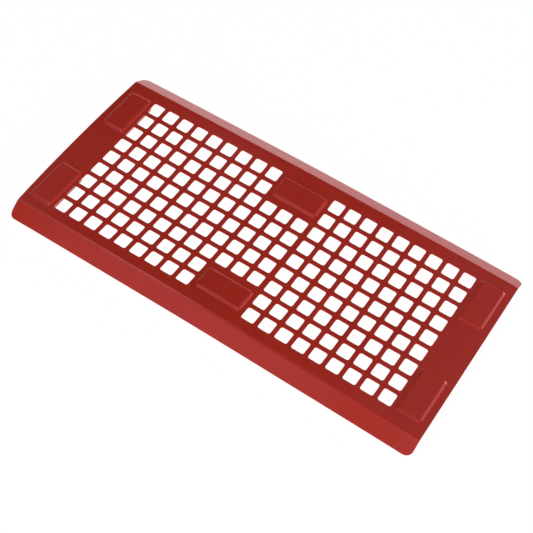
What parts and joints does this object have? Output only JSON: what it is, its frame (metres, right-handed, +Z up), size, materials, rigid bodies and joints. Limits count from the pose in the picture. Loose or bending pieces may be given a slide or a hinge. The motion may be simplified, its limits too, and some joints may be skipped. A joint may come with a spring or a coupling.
{
  "type": "trough feeder grid panel",
  "caption": "Perforated sheet-steel grid panel for a trough feeder: dished deck, long sides flanged down, raised pads with moulded feet plugged in from below.",
  "frame": {"origin": "on the ground plane, under the middle of the panel", "axes": "+X along the panel, +Y towards its rear long side, +Z up"},
  "size_m": [0.495, 0.2442, 0.0162],
  "materials": {
    "red_powder_coat": "satin powder coat with a fine grain",
    "red_rubber": "satin moulded rubber"
  },
  "bodies": {
    "root": {"deck_panel": "red_powder_coat", "front_flange": "red_powder_coat", "rear_flange": "red_powder_coat", "foot_left_front": "red_rubber", "foot_left_rear": "red_rubber", "foot_middle_front": "red_rubber", "foot_middle_rear": "red_rubber", "foot_right_front": "red_rubber", "foot_right_rear": "red_rubber"}
  },
  "joints": []
}
